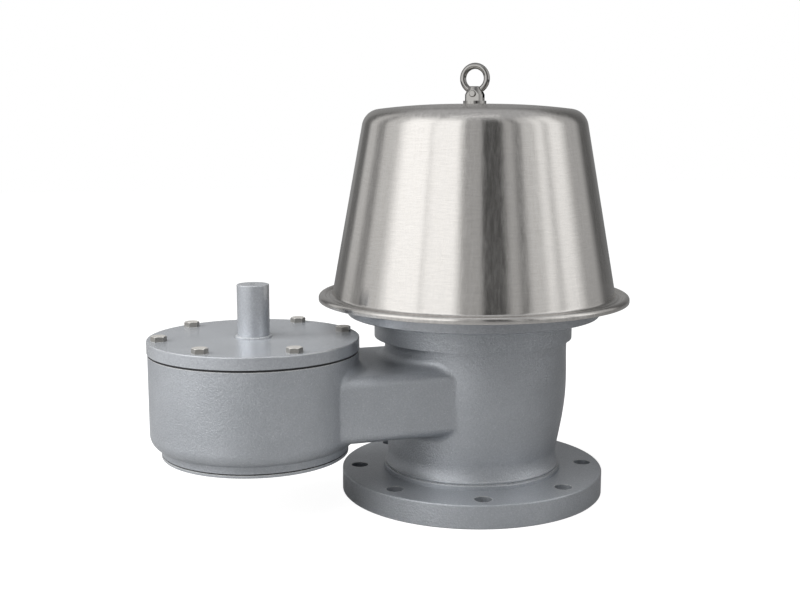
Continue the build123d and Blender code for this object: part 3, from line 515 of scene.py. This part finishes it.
# Hood surface: P(angle, i) = (r cos, r sin, z) with r = outline r + ripple(angle); u = angle / 2 pi, v = run.
# The ripple is a sum of sines with seeded phases, weaker as they get finer: the sheet's slight flats.
def makeHood(values):
    outline = hoodOutline(values) * mm
    turn = np.linspace(0, 2 * np.pi, values["segments"], endpoint=False)
    chance = np.random.default_rng(values["rippleSeed"])
    first = values["firstRipple"]
    order = np.arange(first, first + values["ripples"])
    phase = chance.uniform(0, 2 * np.pi, len(order))
    weight = chance.uniform(*values["rippleWeights"], len(order)) * first / order
    waves = (weight[:, None] * np.sin(order[:, None] * turn[None, :] + phase[:, None])).sum(axis=0)
    share = np.clip((outline[:, 0] / mm - values["rippleFrom"]) / values["rippleOver"], 0, 1)
    r = outline[:, 0][:, None] + values["ripple"] * mm * share[:, None] * waves[None, :]
    points = np.stack([r * np.cos(turn), r * np.sin(turn), np.broadcast_to(outline[:, 1][:, None], r.shape)], axis=-1)
    run = np.concatenate([[0], np.cumsum(np.linalg.norm(np.diff(outline, axis=0), axis=1))])
    u, v = np.broadcast_arrays(turn[None, :] / (2 * np.pi), run[:, None])
    newPiece("hoodShell", points.reshape(-1, 3), gridFaces(len(outline), values["segments"])[:, ::-1],
             finishes["hood"], "housing", ["hood"],
             mapped=np.stack([u, v], axis=-1).reshape(-1, 2))


makeHood(hood)
print("hood spun")

# metres: the plane where the halves meet, how near to it a point still lies in it, and how near points are one
housing = {"nodes": ["valve_body", "vacuum_chamber"], "seam": -0.137, "near": 5e-6, "weld": 1e-6}


# One skin over the barrel's and the chamber's halves: their triangles side by side, without those that lie
# in the seam's plane, with equal points made one and every corner keeping its own normal
def makeHousing(values):
    corners, normals = [], []
    for name in values["nodes"]:
        mesh = cadNodes[name].data
        place, index = np.zeros(len(mesh.vertices) * 3), np.zeros(len(mesh.loops), np.int32)
        lean = np.zeros(len(mesh.loops) * 3)
        mesh.vertices.foreach_get("co", place)
        mesh.loops.foreach_get("vertex_index", index)
        mesh.corner_normals.foreach_get("vector", lean)
        corners.append(place.reshape(-1, 3)[index].reshape(-1, 3, 3))
        normals.append(lean.reshape(-1, 3, 3))
    corners, normals = np.vstack(corners), np.vstack(normals)
    kept = (np.abs(corners[:, :, 0] - values["seam"]) > values["near"]).any(axis=1)
    corners, normals = corners[kept], normals[kept]
    whole = np.round(corners.reshape(-1, 3) / values["weld"]).astype(np.int64)
    _, first, index = np.unique(whole, axis=0, return_index=True, return_inverse=True)
    faces = index.reshape(-1, 3)
    solid = (faces[:, 0] != faces[:, 1]) & (faces[:, 1] != faces[:, 2]) & (faces[:, 2] != faces[:, 0])
    faces, normals = faces[solid], normals[solid]
    piece = newPiece("housingShell", corners.reshape(-1, 3)[first], faces, finishes["paint"], "housing",
                     values["nodes"])
    piece.data.normals_split_custom_set(normals.reshape(-1, 3).tolist())


makeHousing(housing)
print("housing skinned")

# millimetres: the sleeve's axis and outside, the bead's radius, its puddles and a slow unevenness
sleeveWeld = {"x": -288.0, "radius": 20.2, "z": 218.3, "bead": 1.9, "lobes": 46, "lobe": 0.10, "lean": 1.2,
              "slowWaves": 7, "slow": 0.04, "slowPhase": 1.0, "segments": 552, "round": 20}


# Weld bead round the guide sleeve: P(a, b) = centre + (R + p cos b) outwards, z + p sin b, where the bead's
# radius p swells with the sine of lobes * a, leaning a little along b as overlapping puddles do
def makeWeld(values):
    a = np.linspace(0, 2 * np.pi, values["segments"], endpoint=False)[:, None]
    b = np.linspace(0, 2 * np.pi, values["round"], endpoint=False)[None, :]
    puddle = values["lobe"] * np.sin(values["lobes"] * a + values["lean"] * np.cos(b))
    p = values["bead"] * (1 + puddle + values["slow"] * np.sin(values["slowWaves"] * a + values["slowPhase"]))
    r = values["radius"] + p * np.cos(b)
    points = np.stack([values["x"] + r * np.cos(a), r * np.sin(a), values["z"] + p * np.sin(b)], axis=-1) * mm
    newPiece("sleeveWeld", points.reshape(-1, 3), gridFaces(values["segments"], values["round"]), finishes["paint"],
             "housing")


makeWeld(sleeveWeld)
print("sleeve welded")

# the floor lies a little under the part; bandTop is the height in the world's sphere over which the cards
# fade into the ceiling
room = {"floorSize": 14.0, "floorDrop": 0.0005, "floorColour": (0.29, 0.29, 0.29, 1), "floorGlow": 0.95,
        "glossShare": 0.10, "ceiling": (0.50, 0.505, 0.515, 1), "bandTop": (0.66, 0.85), "shadeLevel": 0.35}
# lamps: place, size and power; the strip alone shows in the gloss, as thin lines on rounded edges
lamps = {"topPanel": {"place": (-0.45, -0.30, 1.75), "size": (1.2, 1.0), "power": 19.0, "inGloss": False},
         "frontPanel": {"place": (-0.95, -0.95, 1.50), "size": (1.0, 0.8), "power": 15.0, "inGloss": False},
         "sidePanel": {"place": (-1.95, 0.15, 1.25), "size": (1.1, 1.1), "power": 38.0, "inGloss": False},
         "edgeStrip": {"place": (-0.25, -0.55, 1.70), "size": (0.9, 0.08), "power": 0.35, "inGloss": True}}
lampAim = (-0.15, 0.0, 0.18)
# soft boxes and dark screens round the object: (from, to, brightness), in degrees to the camera's right; the
# gaps between them are their soft edges. Each half is a colour ramp of its own, whose white stands for the
# brightest value, and join is the share of a turn over which the left one gives way to the right one
cards = {"left": [(-180, -152, 0.30), (-146, -134, 0.17), (-128, -118, 0.66), (-111, -104, 0.33), (-98, -84, 0.74),
                  (-71, -46, 1.46), (-43, -42, 1.10), (-39, -16, 1.40), (-8, 1, 0.46)],
         "right": [(10, 25, 0.09), (32, 37, 0.50), (41, 44, 0.25), (50, 60, 0.72), (65, 69, 1.10), (74, 76, 0.74),
                   (82, 92, 1.16), (105, 120, 0.50), (132, 142, 0.13)],
         "brightest": 2.0, "join": 0.008}


def makeFloor(values):
    half, low = values["floorSize"] / 2, -values["floorDrop"]
    mesh = bpy.data.meshes.new("studioFloor")
    mesh.from_pydata([(-half, -half, low), (half, -half, low), (half, half, low), (-half, half, low)], [],
                     [(0, 1, 2, 3)])
    floor = bpy.data.objects.new("studioFloor", mesh)
    bpy.context.scene.collection.objects.link(floor)
    material = bpy.data.materials.new("paleFloor")
    material.use_nodes = True
    tree = material.node_tree
    tree.nodes.clear()
    dull = put(tree, "ShaderNodeBsdfDiffuse", {"Color": values["floorColour"]})
    glow = put(tree, "ShaderNodeEmission", {"Color": (1, 1, 1, 1), "Strength": values["floorGlow"]})
    both = put(tree, "ShaderNodeAddShader", {0: dull.outputs[0], 1: glow.outputs[0]})
    rays = tree.nodes.new("ShaderNodeLightPath").outputs
    seen = math2(tree, "MAXIMUM", rays["Is Camera Ray"], rays["Is Transmission Ray"])
    seen = math2(tree, "MAXIMUM", seen, times(tree, rays["Is Glossy Ray"], values["glossShare"]))
    mix = put(tree, "ShaderNodeMixShader", {0: seen, 1: dull.outputs[0], 2: both.outputs[0]})
    tree.links.new(mix.outputs[0], tree.nodes.new("ShaderNodeOutputMaterial").inputs[0])
    mesh.materials.append(material)


# where an angle lies in the colour ramps, which run once round from behind the camera
def rampPlace(degrees):
    return (degrees + 180) / 360


# a colour ramp over the turn, with a stop at each end of each card
def cardRamp(tree, turn, half, brightest):
    ramp = tree.nodes.new("ShaderNodeValToRGB")
    tree.links.new(turn, ramp.inputs[0])
    stripes = ramp.color_ramp.elements
    while len(stripes) > 1:
        stripes.remove(stripes[-1])
    ends = [(degrees, level / brightest) for low, high, level in half for degrees in (low, high)]
    for k, (degrees, level) in enumerate(ends):
        stop = stripes[0] if k == 0 else stripes.new(rampPlace(degrees))
        stop.position = rampPlace(degrees)
        stop.color = (level, level, level, 1)
    return ramp


# world light: the cards in a band round the object, a grey ceiling above, white to the camera
def makeSurroundings(values, sides):
    world = bpy.data.worlds.new("studioRoom")
    bpy.context.scene.world = world
    world.use_nodes = True
    tree = world.node_tree
    tree.nodes.clear()
    parts = split3(tree, tree.nodes.new("ShaderNodeTexCoord").outputs["Generated"])
    angle = math2(tree, "ARCTAN2", parts[1], parts[0])
    cameraTurn = math.atan2(camera["place"][1], camera["place"][0])
    turn = math2(tree, "DIVIDE", math2(tree, "SUBTRACT", angle, cameraTurn), 2 * math.pi)
    # half a turn puts the camera's side in the middle of the ramps, a whole one keeps the sum above zero
    turn = math2(tree, "FRACT", math2(tree, "ADD", turn, 0.5 + 1.0))
    left, right = (cardRamp(tree, turn, sides[side], sides["brightest"]) for side in ("left", "right"))
    last = right.color_ramp.elements.new(1.0)
    last.color = (sides["left"][0][2] / sides["brightest"],) * 3 + (1,)
    change = rampPlace(sides["right"][0][0])
    onRight = span(tree, turn, change - sides["join"], change)
    band = mixColour(tree, onRight, left.outputs[0], right.outputs[0])
    band = vector2(tree, "MULTIPLY", band, (sides["brightest"],) * 3)
    colour = mixColour(tree, span(tree, parts[2], *values["bandTop"]), band, values["ceiling"])
    rays = tree.nodes.new("ShaderNodeLightPath").outputs
    dim = vector2(tree, "MULTIPLY", colour, (values["shadeLevel"],) * 3)
    colour = mixColour(tree, rays["Is Diffuse Ray"], colour, dim)
    colour = mixColour(tree, rays["Is Camera Ray"], colour, (1, 1, 1, 1))
    back = put(tree, "ShaderNodeBackground", {"Color": colour, "Strength": 1.0})
    tree.links.new(back.outputs[0], tree.nodes.new("ShaderNodeOutputWorld").inputs[0])


def makeLamp(name, values, aim):
    lamp = bpy.data.lights.new(name, "AREA")
    lamp.shape = "RECTANGLE"
    lamp.size, lamp.size_y = values["size"]
    lamp.energy = values["power"]
    holder = bpy.data.objects.new(name, lamp)
    holder.location = values["place"]
    away = np.array(values["place"]) - np.array(aim)
    level = math.hypot(away[0], away[1])
    holder.rotation_euler = (math.atan2(level, away[2]), 0.0, math.atan2(away[1], away[0]) + math.pi / 2)
    holder.visible_glossy = values["inGloss"]
    bpy.context.scene.collection.objects.link(holder)


makeFloor(room)
makeSurroundings(room, cards)
for lampName, lampValues in lamps.items():
    makeLamp(lampName, lampValues, lampAim)
print("room lit")
